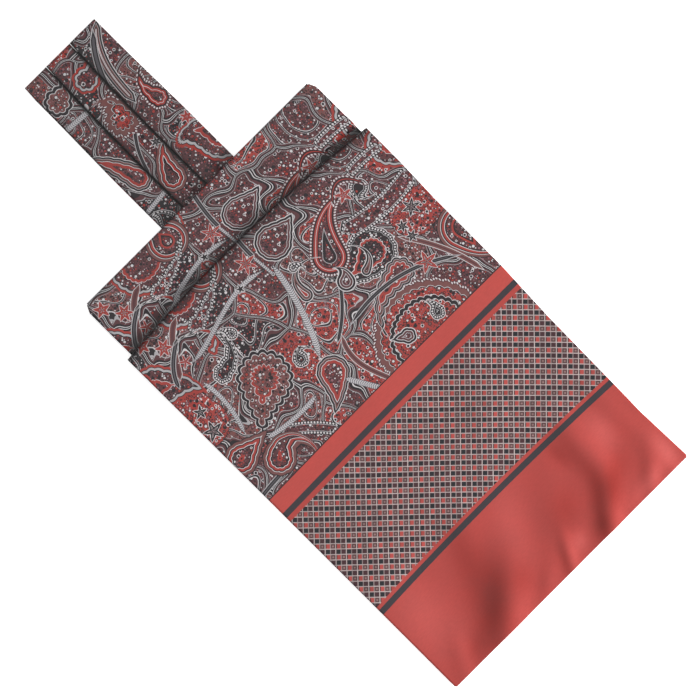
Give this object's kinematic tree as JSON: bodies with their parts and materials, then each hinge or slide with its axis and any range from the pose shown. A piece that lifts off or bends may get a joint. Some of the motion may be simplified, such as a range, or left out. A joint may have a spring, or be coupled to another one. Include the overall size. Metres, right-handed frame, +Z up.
{
  "type": "silk cravat",
  "caption": "Silk cravat laid flat: pleated neckband folded double, folded blade shoulder, and broad front and rear blades with a straight hem.",
  "frame": {"origin": "middle of the outline, on the surface that the cravat lies on", "axes": "+Y along the cravat from the hem to the folded end of the neckband, +Z up out of the surface, +X to the right of the front blade"},
  "size_m": [0.1683, 0.3692, 0.0084],
  "materials": {
    "paisley_silk": "printed silk twill, soft satin sheen, dense maroon, charcoal and red paisley",
    "border_silk": "the same silk twill with coral red bands, charcoal stripes and a small check panel",
    "inner_silk": "folded silk twill seen only at its edges"
  },
  "bodies": {
    "root": {"rear_blade": "paisley_silk", "hidden_folds": "inner_silk", "neckband_pleat_left": "paisley_silk", "neckband_pleat_middle": "paisley_silk", "neckband_pleat_right": "paisley_silk", "blade_shoulder": "paisley_silk", "front_blade": "border_silk"}
  },
  "joints": []
}
